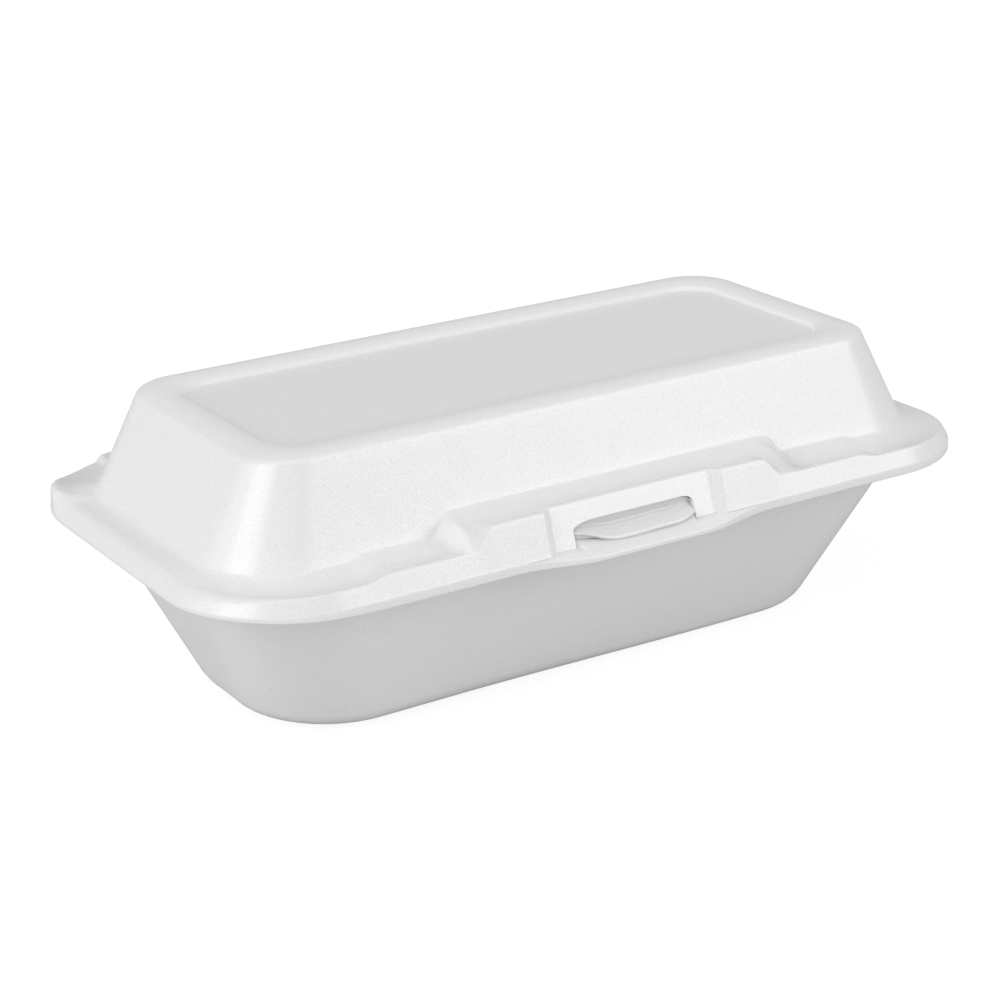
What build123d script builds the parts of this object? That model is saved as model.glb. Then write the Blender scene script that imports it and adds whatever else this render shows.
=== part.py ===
from build123d import *
import os

# A foam food box with a hinged lid, closed. Millimetres, +Z up, X along the long side, the latch on -Y.
# The origin is the centre of the underside. Tray and lid meet in the rim plane.

# Foam
tray_wall = 2.4
lid_wall = 2.2
running_gap = 0.5

# The lid's inner form lies a whole wall lower than the outer one, and this share of a wall further in
lid_wall_lean = 0.65

# Rim of tray and lid
rim_length = 248.0
rim_width = 134.0
rim_corner = 33.5
rim_height = 50.2
rim_thickness = 2.2

# Tray: flange around the mouth, sloping walls, a floor with short straight ends and a rounded edge
flange_end = 9.5
flange_side = 10.0
mouth_corner = 32.0
tray_run_end = 21.3
tray_run_side = 22.0
floor_end_flat = 12.0
floor_edge_radius = 5.0

# Thumb tab on the front of the tray's flange
tab_half_length = 38.0
tab_reach = 4.8

# Lid: upright land, sloping skirt, ledge, sloping wall, top with a sunk panel
lid_height = 32.0
land_height = 1.0
ledge_height = 4.8
skirt_run_end = 5.1
skirt_run_side = 3.2
ledge_corner = 30.0
ledge_end = 5.6
ledge_side = 13.1
wall_foot_corner = 22.0
wall_run_end = 13.4
wall_run_side = 8.1
top_corner = 14.0
top_edge_radius = 3.0
panel_border_end = 10.6
panel_border_side = 11.1
panel_corner = 10.0
panel_depth = 1.2

# Steps of the ledge: a long low one and a tall middle one in front, a hinge spine behind
low_step_half_length = 79.0
low_step_height = 6.2
tall_step_half_length = 48.0
tall_step_height = 11.5
spine_half_length = 82.0
spine_height = 8.4
step_run = 3.7
step_end_slope = 1.0
step_splay = 5.0
step_edge_radius = 1.5

# Pocket and slot in the lid's front skirt, with a thin strip below the slot
pocket_half_length = 26.5
pocket_depth = 1.5
slot_half_length = 19.0
slot_height = 4.6
slot_corner = 1.8
strip_height = 2.5
strip_thickness = 1.0

# Tongue of the tray, which goes through the slot and hooks over the strip
tongue_end_gap = 1.8
tongue_thickness = 2.0
tongue_drop = 1.5
tongue_corner = 1.2

# Hinge: a pressed fold of the sheet along the back of the rim
hinge_half_length = 88.0
hinge_thickness = 1.0

# Edges within this of a height count as lying flat at it
flat_tolerance = 0.001


def level(length, width, corner, height):
    """A rounded rectangle about the middle of the box at one height."""
    return Plane.XY.offset(height) * RectangleRounded(length, width, corner)


def rim_outline(inset):
    """Length, width and corner of the rim, drawn in by inset."""
    return rim_length - 2 * inset, rim_width - 2 * inset, rim_corner - inset


def quad(half_front, half_back, y_front, y_back, height):
    """A four-sided outline at one height, with its own length at the front and at the back."""
    corners = [(-half_front, y_front), (half_front, y_front), (half_back, y_back), (-half_back, y_back)]
    return Plane.XY.offset(height) * make_face(Polyline(*corners, close=True))


def frustum(low, high):
    """The straight-sided solid between two outlines."""
    return loft([low, high], ruled=True)


def across(section, half_length):
    """A section of (y, z) points, drawn out along X to both sides of the middle."""
    return extrude(Plane.YZ * make_face(Polyline(*section, close=True)), half_length, both=True)


def edges_at(solid, height):
    """The edges of a solid that lie flat at one height."""
    return solid.edges().filter_by_position(Axis.Z, height - flat_tolerance, height + flat_tolerance)


def tray_form(inset):
    """The tray's outer form, or its inner form where inset is the wall."""
    mouth_length = rim_length - 2 * flange_end
    mouth_width = rim_width - 2 * flange_side
    floor_length = mouth_length - 2 * tray_run_end
    floor_width = mouth_width - 2 * tray_run_side
    floor_corner = (floor_width - floor_end_flat) / 2
    floor = level(floor_length - 2 * inset, floor_width - 2 * inset, floor_corner - inset, inset)
    mouth = level(mouth_length - 2 * inset, mouth_width - 2 * inset, mouth_corner - inset, rim_height)
    form = frustum(floor, mouth)
    return fillet(edges_at(form, inset), floor_edge_radius - inset / 2)


def thumb_tab():
    """The flange's outline bulges forward in one shallow arc."""
    y_front = -rim_width / 2
    y_root = y_front + flange_side / 2
    left = (-tab_half_length, y_front)
    right = (tab_half_length, y_front)
    arc = ThreePointArc(left, (0, y_front - tab_reach), right)
    back = Polyline(right, (tab_half_length, y_root), (-tab_half_length, y_root), left)
    return extrude(Plane.XY.offset(rim_height - rim_thickness) * make_face(arc + back), rim_thickness)


# The front skirt at the pocket: its face in the rim plane, how far it leans back for each millimetre up,
# and the back and front of the strip below the slot
pocket_face = rim_width / 2 - pocket_depth
skirt_lean = step_run / tall_step_height
strip_back = pocket_face - lid_wall
strip_front = strip_back + strip_thickness


def tongue():
    """A hook in section: up behind the strip, out through the slot and down in front of the strip."""
    root = rim_height - rim_thickness / 2
    root_front = strip_back - skirt_lean * strip_height - running_gap
    root_back = root_front - tongue_thickness
    under = rim_height + strip_height + running_gap
    over = under + tongue_thickness
    nose_back = strip_front + running_gap
    nose_front = nose_back + tongue_thickness
    section = [
        (-root_back, root),
        (-root_back, over - tongue_thickness / 2),
        (-root_front, over),
        (-nose_back, over - tongue_thickness / 4),
        (-nose_front, under),
        (-nose_front, under - tongue_drop),
        (-nose_back, under - tongue_drop),
        (-nose_back, under),
        (-root_front, under),
        (-root_front, root),
    ]
    hook = across(section, slot_half_length - tongue_end_gap)
    nose_ends = hook.edges().filter_by(Axis.Z).group_by(Axis.Y)[0]
    return fillet(nose_ends, tongue_corner)


def tray():
    """Tub, flange, thumb tab and tongue, moulded in one."""
    flange = extrude(level(*rim_outline(0), rim_height - rim_thickness), rim_thickness)
    return tray_form(0) + flange + thumb_tab() - tray_form(tray_wall) + tongue()


def lid_body(inset, drop):
    """Land, skirt and wall of the lid. For the inner form all moves in by inset and down by drop."""
    ledge_length = rim_length - 2 * skirt_run_end - 2 * inset
    ledge_width = rim_width - 2 * skirt_run_side - 2 * inset
    foot_length = ledge_length - 2 * ledge_end
    foot_width = ledge_width - 2 * ledge_side
    land_level = rim_height + land_height - drop
    ledge_level = rim_height + ledge_height - drop
    top_level = rim_height + lid_height - drop
    land = extrude(level(*rim_outline(inset), rim_height - drop), land_height)
    skirt = frustum(
        level(*rim_outline(inset), land_level),
        level(ledge_length, ledge_width, ledge_corner - inset, ledge_level),
    )
    wall = frustum(
        level(foot_length, foot_width, wall_foot_corner - inset, ledge_level),
        level(foot_length - 2 * wall_run_end, foot_width - 2 * wall_run_side, top_corner - inset, top_level),
    )
    wall = fillet(edges_at(wall, top_level), top_edge_radius)
    return land + skirt + wall


def ledge_step(half_length, height, inset, drop, side):
    """A raised length of the ledge with sloping ends: side is -1 in front and 1 behind."""
    y_rim = side * (rim_width / 2 - inset)
    y_top = side * (rim_width / 2 - inset - step_run * height / tall_step_height)
    y_root = side * (rim_width / 2 - skirt_run_side - ledge_side - wall_run_side)
    top = half_length - inset
    foot = top + height * step_end_slope
    top_level = rim_height + height - drop
    block = frustum(
        quad(foot, foot + step_splay, y_rim, y_root, rim_height - drop),
        quad(top, top + step_splay, y_top, y_root, top_level),
    )
    shown = edges_at(block, top_level).sort_by(Axis.Y, reverse=side > 0)[:-1]
    within_rim = extrude(level(*rim_outline(inset), rim_height - drop), height)
    return fillet(shown, step_edge_radius) & within_rim


def lid_form(inset, drop):
    """The lid as a solid form, before its panel, pocket and slot."""
    form = lid_body(inset, drop)
    form += ledge_step(low_step_half_length, low_step_height, inset, drop, -1)
    form += ledge_step(tall_step_half_length, tall_step_height, inset, drop, -1)
    form += ledge_step(spine_half_length, spine_height, inset, drop, 1)
    return form


def panel(grow, drop):
    """The sunk panel in the lid's top; grow and drop give the foam below and around it."""
    border_end = skirt_run_end + ledge_end + wall_run_end + panel_border_end - grow
    border_side = skirt_run_side + ledge_side + wall_run_side + panel_border_side - grow
    floor = rim_height + lid_height - panel_depth - drop
    outline = level(rim_length - 2 * border_end, rim_width - 2 * border_side, panel_corner + grow, floor)
    return extrude(outline, panel_depth + drop)


def skirt_front(face, half_length, top):
    """All that lies before the leaning face of the front skirt, up to a height above the rim."""
    outside = -rim_width
    section = [
        (outside, rim_height - lid_wall),
        (-face - skirt_lean * lid_wall, rim_height - lid_wall),
        (-face + skirt_lean * top, rim_height + top),
        (outside, rim_height + top),
    ]
    return across(section, half_length)


def slot():
    """The latch slot, through the front skirt above the strip."""
    middle = rim_height + strip_height + slot_height / 2
    outline = RectangleRounded(2 * slot_half_length, slot_height, slot_corner)
    depth = pocket_depth + lid_wall + step_run + ledge_side / 2
    return extrude(Plane.XZ.offset(rim_width / 2) * Pos(0, middle) * outline, -depth)


def lid():
    """The lid's shell, with panel, pocket, slot and strip."""
    inset = lid_wall * lid_wall_lean
    outer = lid_form(0, 0) - panel(0, 0) - skirt_front(pocket_face, pocket_half_length, tall_step_height)
    inner = lid_form(inset, lid_wall) - panel(lid_wall, lid_wall)
    inner -= skirt_front(strip_back, pocket_half_length + lid_wall, tall_step_height)
    shell = outer - inner
    return shell - slot() - skirt_front(strip_front, slot_half_length, strip_height)


def living_hinge():
    """The pressed fold that joins the back of the tray's flange to the lid's land."""
    back = rim_width / 2
    low = (back, rim_height - rim_thickness)
    high = (back, rim_height + land_height)
    bulge = (back + hinge_thickness, (low[1] + high[1]) / 2)
    section = make_face(ThreePointArc(low, bulge, high) + Line(high, low))
    return extrude(Plane.YZ * section, hinge_half_length, both=True)


os.makedirs("parts", exist_ok=True)
export_step(tray(), "parts/tray.step")
export_step(lid(), "parts/lid.step")
export_step(living_hinge(), "parts/living_hinge.step")
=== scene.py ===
import logging
import math
from dataclasses import dataclass
from enum import Enum
from typing import ClassVar

import bmesh
import bpy
import numpy as np
from mathutils import Matrix, Vector


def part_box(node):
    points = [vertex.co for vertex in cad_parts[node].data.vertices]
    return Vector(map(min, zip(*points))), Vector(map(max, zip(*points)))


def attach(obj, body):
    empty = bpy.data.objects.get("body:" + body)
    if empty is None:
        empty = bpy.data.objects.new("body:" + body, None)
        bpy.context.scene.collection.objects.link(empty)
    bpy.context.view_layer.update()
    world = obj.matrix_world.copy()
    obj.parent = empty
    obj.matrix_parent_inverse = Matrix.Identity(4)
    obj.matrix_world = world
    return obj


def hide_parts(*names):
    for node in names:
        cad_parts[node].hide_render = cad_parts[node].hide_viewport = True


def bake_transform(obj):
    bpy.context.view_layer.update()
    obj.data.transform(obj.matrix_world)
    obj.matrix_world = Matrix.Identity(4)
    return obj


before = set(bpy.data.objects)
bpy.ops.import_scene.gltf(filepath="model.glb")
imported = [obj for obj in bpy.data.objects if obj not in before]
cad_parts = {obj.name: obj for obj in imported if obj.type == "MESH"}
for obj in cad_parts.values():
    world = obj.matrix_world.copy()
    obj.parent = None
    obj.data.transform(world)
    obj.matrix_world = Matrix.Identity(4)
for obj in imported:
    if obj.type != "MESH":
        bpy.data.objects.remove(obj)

# The looks of a closed foam food box with a hinged lid. Sizes are in millimetres in the frame's own axes:
# X along the long side, -Y to the latch, +Z up. Meshes are turned to metres as they are made.

Array = np.ndarray
Tree = bpy.types.NodeTree
Socket = bpy.types.NodeSocket
Span = tuple[float, float]
MM = 0.001
TINY = 1e-6
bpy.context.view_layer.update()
log = logging.getLogger("food_box")


class Body(Enum):
    """The bodies of the frame that pieces ride on."""

    TRAY = "tray"
    LID = "lid"


class Slot(Enum):
    """The record's material slots."""

    SHEET = "foam_sheet"
    PRESSED = "pressed_foam"


def node_box(node: str) -> tuple[Array, Array]:
    """The lowest and highest corner of a frame node, in millimetres.

    Args:
        node: The node's name.

    Returns:
        Both corners as arrays of three numbers.
    """
    low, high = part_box(node)
    return np.array(low) / MM, np.array(high) / MM


def ease(value: Array, start: float | Array, end: float | Array) -> Array:
    """A soft step: 0 up to start, 1 from end, and 3t^2 - 2t^3 of the way t between them.

    Args:
        value: Where the step is read.
        start: The place where it leaves 0.
        end: The place where it reaches 1.

    Returns:
        The step's value at each place.
    """
    t = np.clip((value - start) / (end - start), 0.0, 1.0)
    return t * t * (3.0 - 2.0 * t)


def crowded(half: float, count: int) -> Array:
    """Places from -half to half, spaced as a sine so that they lie closer towards both ends."""
    return half * np.sin(np.linspace(-math.pi / 2, math.pi / 2, count))


@dataclass(frozen=True)
class Bump:
    """A soft bump along x: height * exp(-d^2), at d widths from its middle."""

    height: float
    middle: float
    width: float

    def at(self, x: Array) -> Array:
        """The bump's value at each place."""
        return self.height * np.exp(-(((x - self.middle) / self.width) ** 2))


@dataclass(frozen=True)
class Outline:
    """A rounded rectangle about the middle of the box."""

    half_length: float
    half_width: float
    corner: float

    def drawn_in(self, end: float, side: float, corner: float) -> "Outline":
        """The outline moved in at its ends and sides, with a smaller corner radius."""
        return Outline(self.half_length - end, self.half_width - side, self.corner - corner)

    def inset(self, depth: float) -> "Outline":
        """The outline moved in by one depth all round."""
        return self.drawn_in(depth, depth, depth)

    def toward(self, other: "Outline", share: float) -> "Outline":
        """The outline that lies a share of the way to another one.

        Args:
            other: The outline at the share 1.
            share: The share of the way.

        Returns:
            The outline between both.
        """
        here = (self.half_length, self.half_width, self.corner)
        there = (other.half_length, other.half_width, other.corner)
        return Outline(*(a + (b - a) * share for a, b in zip(here, there)))

    def spine(self) -> "Outline":
        """The line along the middle that the outline shrinks to."""
        return Outline(self.half_length - self.half_width, 0.0, 0.0)


@dataclass(frozen=True)
class Columns:
    """Places around a rounded rectangle, kept so that they fit any outline.

    A place is side * (half size - corner) + turn * corner, with side from -1 to 1 along a straight
    stretch and turn the direction in which the edge faces.
    """

    side: Array
    turn: Array

    @classmethod
    def around(cls, stations: Array, ends: int) -> "Columns":
        """Places from the left of the front, to the right, and on round the box.

        Args:
            stations: Places along the long sides, from -1 to 1.
            ends: The number of places on each short side.

        Returns:
            The columns. Round each corner they lie closest where the back ledge's raised length ends.
        """
        short = np.linspace(-1.0, 1.0, ends)
        close_from, close_to, halfway = 11.0, 21.0, 45.0
        eighth = [
            np.linspace(0.0, close_from, 4),
            np.linspace(close_from, close_to, 9)[1:],
            np.linspace(close_to, halfway, 7)[1:],
        ]
        close = np.concatenate(eighth)
        bend = np.radians(np.concatenate([close, 2.0 * halfway - close[-2::-1]]))[1:-1]
        side: list[Array] = []
        turn: list[Array] = []
        for quarter, run in enumerate((stations, short, stations, short)):
            facing = quarter * math.pi / 2 - math.pi / 2
            along = np.array([-math.sin(facing), math.cos(facing)])
            out = np.array([math.cos(facing), math.sin(facing)])
            side.append(np.outer(run, along) + out)
            turn.append(np.tile(out, (len(run), 1)))
            angles = facing + bend
            side.append(np.tile(out + along, (len(bend), 1)))
            turn.append(np.stack([np.cos(angles), np.sin(angles)], axis=1))
        return cls(np.concatenate(side), np.concatenate(turn))

    def ring(self, outline: Outline, height: float) -> Array:
        """The places on one outline at one height, as rows of x, y, z.

        Args:
            outline: The outline.
            height: The height of all the places.

        Returns:
            The places, in the columns' order.
        """
        core = np.array([outline.half_length, outline.half_width]) - outline.corner
        plan = self.side * core + self.turn * outline.corner
        return np.column_stack([plan, np.full(len(plan), height)])

    def back_angle(self) -> Array:
        """Degrees from facing an end towards facing the back, for each place."""
        return np.degrees(np.arctan2(self.turn[:, 1], np.abs(self.turn[:, 0])))

    def by_side(self, long: float, end: float | Array) -> Array:
        """A value for each place: one on the long sides, another on the ends, blended round the corners."""
        return end + (long - end) * np.abs(self.turn[:, 1])

    def in_front(self) -> Array:
        """1 on the straight front and 0 elsewhere."""
        return (self.turn[:, 1] == -1.0).astype(float)

    def behind(self) -> Array:
        """1 on the back and its corners, and 0 elsewhere."""
        return (self.turn[:, 1] > TINY).astype(float)


@dataclass
class Bend:
    """One control ring of a section: its places, how it is rounded and how the run to the next is divided.

    Its rounding takes at most the share "room" of the runs beside it.
    """

    ring: Array
    cut: float | Array = 0.0
    steps: int = 1
    run: int = 1
    room: float = 0.48


def sweep(bends: list[Bend]) -> tuple[Array, list[int]]:
    """Carries a section with rounded bends round the columns.

    Between two control rings the surface runs straight. At a ring it follows the circle that touches both
    runs at the cut's distance: the rational curve ((1-t)^2 P + 2wt(1-t) C + t^2 Q) over the same sum of
    weights, with w the cosine of half the turn.

    Args:
        bends: The control rings in order along the section.

    Returns:
        The grid of points, rows along the section and columns round the box, and the row at which the run
        after each control ring starts.
    """
    no_span, least_weight = 1e-9, 0.05
    rings = np.stack([b.ring for b in bends])
    runs = rings[1:] - rings[:-1]
    spans = np.maximum(np.linalg.norm(runs, axis=2), no_span)
    rows: list[Array] = []
    starts: list[int] = []
    leave = rings[0]
    for k, bend in enumerate(bends[:-1]):
        starts.append(len(rows))
        following = bends[k + 1]
        last = k + 2 == len(bends)
        room = spans[k] if last else following.room * np.minimum(spans[k], spans[k + 1])
        cut = np.minimum(0.0 if last else following.cut, room)[:, None]
        arrive = rings[k + 1] - runs[k] / spans[k][:, None] * cut
        for f in np.linspace(0.0, 1.0, bend.run + 1):
            rows.append(leave + (arrive - leave) * f)
        if last:
            break
        leave = rings[k + 1] + runs[k + 1] / spans[k + 1][:, None] * cut
        if np.max(following.cut) <= 0.0:
            rows.pop()
            continue
        turn = np.sum(runs[k] * runs[k + 1], axis=1) / (spans[k] * spans[k + 1])
        weight = np.sqrt(np.clip((1.0 + turn) / 2.0, least_weight, 1.0))[:, None]
        for t in np.linspace(0.0, 1.0, following.steps + 1)[1:-1]:
            a, b, c = (1 - t) ** 2, 2 * t * (1 - t) * weight, t * t
            rows.append((a * arrive + b * rings[k + 1] + c * leave) / (a + b + c))
    return np.stack(rows), starts


def grid_faces(rows: int, columns: int, first: int = 0) -> Array:
    """The four-sided faces of a grid that closes on itself round its columns.

    Args:
        rows: The number of rows.
        columns: The number of columns.
        first: The index of the grid's first point.

    Returns:
        The point indices of each face, one face a row, in an array of rows by columns by four.
    """
    index = first + np.arange(rows * columns).reshape(rows, columns)
    right = np.roll(index, -1, axis=1)
    return np.stack([index[:-1], index[1:], right[1:], right[:-1]], axis=2)


def rounded_loop(corners: Array, share: float, steps: int) -> Array:
    """A closed polygon with each corner replaced by the parabola through points a share along its sides.

    Args:
        corners: The polygon's corners, as corners by stations by three.
        share: How far along each side the rounding starts, as a share of that side.
        steps: The number of points on each rounding.

    Returns:
        The loop's points, as stations by points by three.
    """
    start = corners + (np.roll(corners, 1, axis=0) - corners) * share
    end = corners + (np.roll(corners, -1, axis=0) - corners) * share
    rows = []
    for k in range(len(corners)):
        for t in np.linspace(0.0, 1.0, steps):
            rows.append((1 - t) ** 2 * start[k] + 2 * t * (1 - t) * corners[k] + t * t * end[k])
    return np.stack(rows, axis=1)


def capped_tube(sections: Array, first: int = 0) -> tuple[Array, Array]:
    """A closed tube through sections, with a point in the middle of each end.

    Args:
        sections: Points of each section, as sections by points by three.
        first: The index of the tube's first point.

    Returns:
        The points, and the faces as rows of four indices. The triangles at the ends repeat one index.
    """
    count, around, _ = sections.shape
    body = grid_faces(count, around, first).reshape(-1, 4)
    points = sections.reshape(-1, 3)
    tips = np.stack([sections[0].mean(axis=0), sections[-1].mean(axis=0)])
    low = first + np.arange(around)
    high = low + (count - 1) * around
    start_tip = np.full(around, first + len(points))
    end_tip = start_tip + 1
    start = np.stack([np.roll(low, -1), start_tip, start_tip, low], axis=1)
    end = np.stack([high, end_tip, end_tip, np.roll(high, -1)], axis=1)
    return np.concatenate([points, tips]), np.concatenate([body, start, end])


def make_piece(
    name: str, points: Array, faces: Array, sharp: float, attributes: dict[str, Array]
) -> bpy.types.Object:
    """A mesh object of points in millimetres, with coinciding points joined.

    Args:
        name: The piece's name.
        points: The points, as rows of x, y, z.
        faces: The faces, as rows of four indices.
        sharp: Edges that turn by more than this many degrees stay sharp.
        attributes: Numbers for each point, by name, that materials read.

    Returns:
        The new object, linked to the scene.
    """
    joined, flattened = 1e-7, 1e-8
    mesh = bpy.data.meshes.new(name)
    mesh.from_pydata((points * MM).tolist(), [], [list(dict.fromkeys(f)) for f in faces.tolist()])
    for key, values in attributes.items():
        layer = mesh.attributes.new(key, "FLOAT", "POINT")
        layer.data.foreach_set("value", values.astype(np.float32))
    weld = bmesh.new()
    weld.from_mesh(mesh)
    bmesh.ops.remove_doubles(weld, verts=weld.verts, dist=joined)
    bmesh.ops.dissolve_degenerate(weld, edges=weld.edges, dist=flattened)
    if weld.calc_volume(signed=True) < 0.0:
        bmesh.ops.reverse_faces(weld, faces=weld.faces)
    weld.to_mesh(mesh)
    weld.free()
    mesh.polygons.foreach_set("use_smooth", np.ones(len(mesh.polygons), bool))
    mesh.set_sharp_from_angle(angle=math.radians(sharp))
    piece = bpy.data.objects.new(name, mesh)
    bpy.context.scene.collection.objects.link(piece)
    return piece


@dataclass(frozen=True)
class FoamFinish:
    """White skinned foam: a fine grain of cells, faint mottling and a soft sheen."""

    name: str
    grain_depth: float
    mottle: float
    swell_depth: float
    color: tuple[float, float, float] = (0.87, 0.87, 0.87)
    roughness: float = 0.2
    specular: float = 0.62
    cell: float = 0.42
    grain_detail: float = 3.0
    swell_waves: float = 45.0
    swell_detail: float = 1.0
    speck: tuple[float, float, float] | None = None
    speck_radius: float = 0.6
    speck_depth: float = 0.22

    def material(self) -> bpy.types.Material:
        """The procedural material, on Object coordinates.

        Returns:
            A material whose colour varies by a few parts in a hundred with noise at the size of the foam's
            cells, and whose bump adds that grain to a slow swell of the sheet. The piece's "sunk" attribute
            is painted shade: the share by which recessed parts, where shade falls, are darker, and where it
            is below 0 a painted highlight. A speck, where there is one, fades out from its middle.
        """
        made = bpy.data.materials.new(self.name)
        made.use_nodes = True
        tree = made.node_tree
        shader = tree.nodes["Principled BSDF"]
        shader.inputs["Roughness"].default_value = self.roughness
        shader.inputs["Specular IOR Level"].default_value = self.specular
        place = tree.nodes.new("ShaderNodeTexCoord").outputs["Object"]
        grain = self._noise(tree, place, 1.0 / (self.cell * MM), self.grain_detail)
        swell = self._noise(tree, place, self.swell_waves, self.swell_detail)
        spread = tree.nodes.new("ShaderNodeMapRange")
        spread.inputs["To Min"].default_value = 1.0 - self.mottle / 2
        spread.inputs["To Max"].default_value = 1.0 + self.mottle / 2
        tree.links.new(grain, spread.inputs["Value"])
        tint = self._product(tree)
        tint.inputs["A"].default_value = (*self.color, 1.0)
        tree.links.new(spread.outputs["Result"], tint.inputs["B"])
        # Painted shade: the "sunk" attribute darkens recessed parts where shade falls; below 0 it is a
        # painted highlight
        painted_shade_map = tree.nodes.new("ShaderNodeAttribute")
        painted_shade_map.attribute_name = "sunk"
        shade = tree.nodes.new("ShaderNodeMath")
        shade.operation = "SUBTRACT"
        shade.inputs[0].default_value = 1.0
        tree.links.new(painted_shade_map.outputs["Fac"], shade.inputs[1])
        deep = self._product(tree)
        tree.links.new(tint.outputs["Result"], deep.inputs["A"])
        tree.links.new(self._specked(tree, place, shade.outputs["Value"]), deep.inputs["B"])
        tree.links.new(deep.outputs["Result"], shader.inputs["Base Color"])
        bump = self._bump(tree, swell, self.swell_depth, None)
        bump = self._bump(tree, grain, self.grain_depth, bump)
        tree.links.new(bump, shader.inputs["Normal"])
        return made

    def _specked(self, tree: Tree, place: Socket, shade: Socket) -> Socket:
        """The shade, darker within the speck.

        Args:
            tree: The material's nodes.
            place: The socket with Object coordinates.
            shade: The socket with the shade so far.

        Returns:
            The socket with the shade.
        """
        if self.speck is None:
            return shade
        away = tree.nodes.new("ShaderNodeVectorMath")
        away.operation = "DISTANCE"
        away.inputs[1].default_value = tuple(v * MM for v in self.speck)
        tree.links.new(place, away.inputs[0])
        fade = tree.nodes.new("ShaderNodeMapRange")
        fade.inputs["From Max"].default_value = self.speck_radius * MM
        fade.inputs["To Min"].default_value = 1.0 - self.speck_depth
        tree.links.new(away.outputs["Value"], fade.inputs["Value"])
        both = tree.nodes.new("ShaderNodeMath")
        both.operation = "MULTIPLY"
        tree.links.new(shade, both.inputs[0])
        tree.links.new(fade.outputs["Result"], both.inputs[1])
        return both.outputs["Value"]

    @staticmethod
    def _product(tree: Tree) -> bpy.types.Node:
        """A node that multiplies its colours A and B.

        Args:
            tree: The material's nodes.

        Returns:
            The node, with both colours still to be set.
        """
        product = tree.nodes.new("ShaderNodeMix")
        product.data_type = "RGBA"
        product.blend_type = "MULTIPLY"
        product.inputs["Factor"].default_value = 1.0
        return product

    @staticmethod
    def _noise(tree: Tree, place: Socket, waves: float, detail: float) -> Socket:
        """A noise over the piece.

        Args:
            tree: The material's nodes.
            place: The socket with Object coordinates.
            waves: The number of waves a metre.
            detail: The number of finer layers.

        Returns:
            The noise's value socket.
        """
        noise = tree.nodes.new("ShaderNodeTexNoise")
        noise.inputs["Scale"].default_value = waves
        noise.inputs["Detail"].default_value = detail
        tree.links.new(place, noise.inputs["Vector"])
        return noise.outputs["Fac"]

    @staticmethod
    def _bump(tree: Tree, height: Socket, depth: float, under: Socket | None) -> Socket:
        """A bump over another one.

        Args:
            tree: The material's nodes.
            height: The socket with the bump's height.
            depth: The bump's depth in millimetres.
            under: The normal socket of the bump below, if there is one.

        Returns:
            The bump's normal socket.
        """
        bump = tree.nodes.new("ShaderNodeBump")
        bump.inputs["Strength"].default_value = 1.0
        bump.inputs["Distance"].default_value = depth * MM
        tree.links.new(height, bump.inputs["Height"])
        if under is not None:
            tree.links.new(under, bump.inputs["Normal"])
        return bump.outputs["Normal"]


def dress(piece: bpy.types.Object, finish: FoamFinish, slot: Slot, *nodes: str) -> None:
    """Gives a piece its material, and lets it stand for frame nodes.

    Args:
        piece: The piece.
        finish: Its finish.
        slot: The record's slot; not used.
        nodes: The nodes that it replaces.
    """
    piece.data.materials.append(finish.material())
    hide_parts(*nodes)
    log.info("%s: %d faces", piece.name, len(piece.data.polygons))


@dataclass
class Rim:
    """The plane in which tray and lid meet, as the frame gives it."""

    corner: float = 33.5

    def __post_init__(self) -> None:
        """Reads the rim's size from the lid's node."""
        low, high = node_box("lid")
        self.height = float(low[2])
        self.top = float(high[2])
        self.outline = Outline(float(high[0]), float(high[1]), self.corner)


@dataclass(frozen=True)
class StepEnds:
    """Where the front ledge's steps fall away along one line of the ledge.

    Each span is the start and the end of a fall, by the distance from the line's middle: the tall step's on
    the left and on the right, and the low step's, which is the same on both sides.
    """

    left: Span
    right: Span
    low: Span
    middle: float = 0.0

    def rise(self, x: Array, low_rise: float, tall_rise: float) -> Array:
        """The height of the steps: a tall middle length on a long low one, each with soft ends.

        Args:
            x: Places along the long side.
            low_rise: The low step's height above the plain ledge.
            tall_rise: The tall step's height above the plain ledge.

        Returns:
            The height at each place.
        """
        far = np.abs(x - self.middle)
        start, end = (np.where(x < 0.0, a, b) for a, b in zip(self.left, self.right))
        low = low_rise * (1.0 - ease(far, *self.low))
        return low + (tall_rise - low_rise) * (1.0 - ease(far, start, end))


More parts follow.
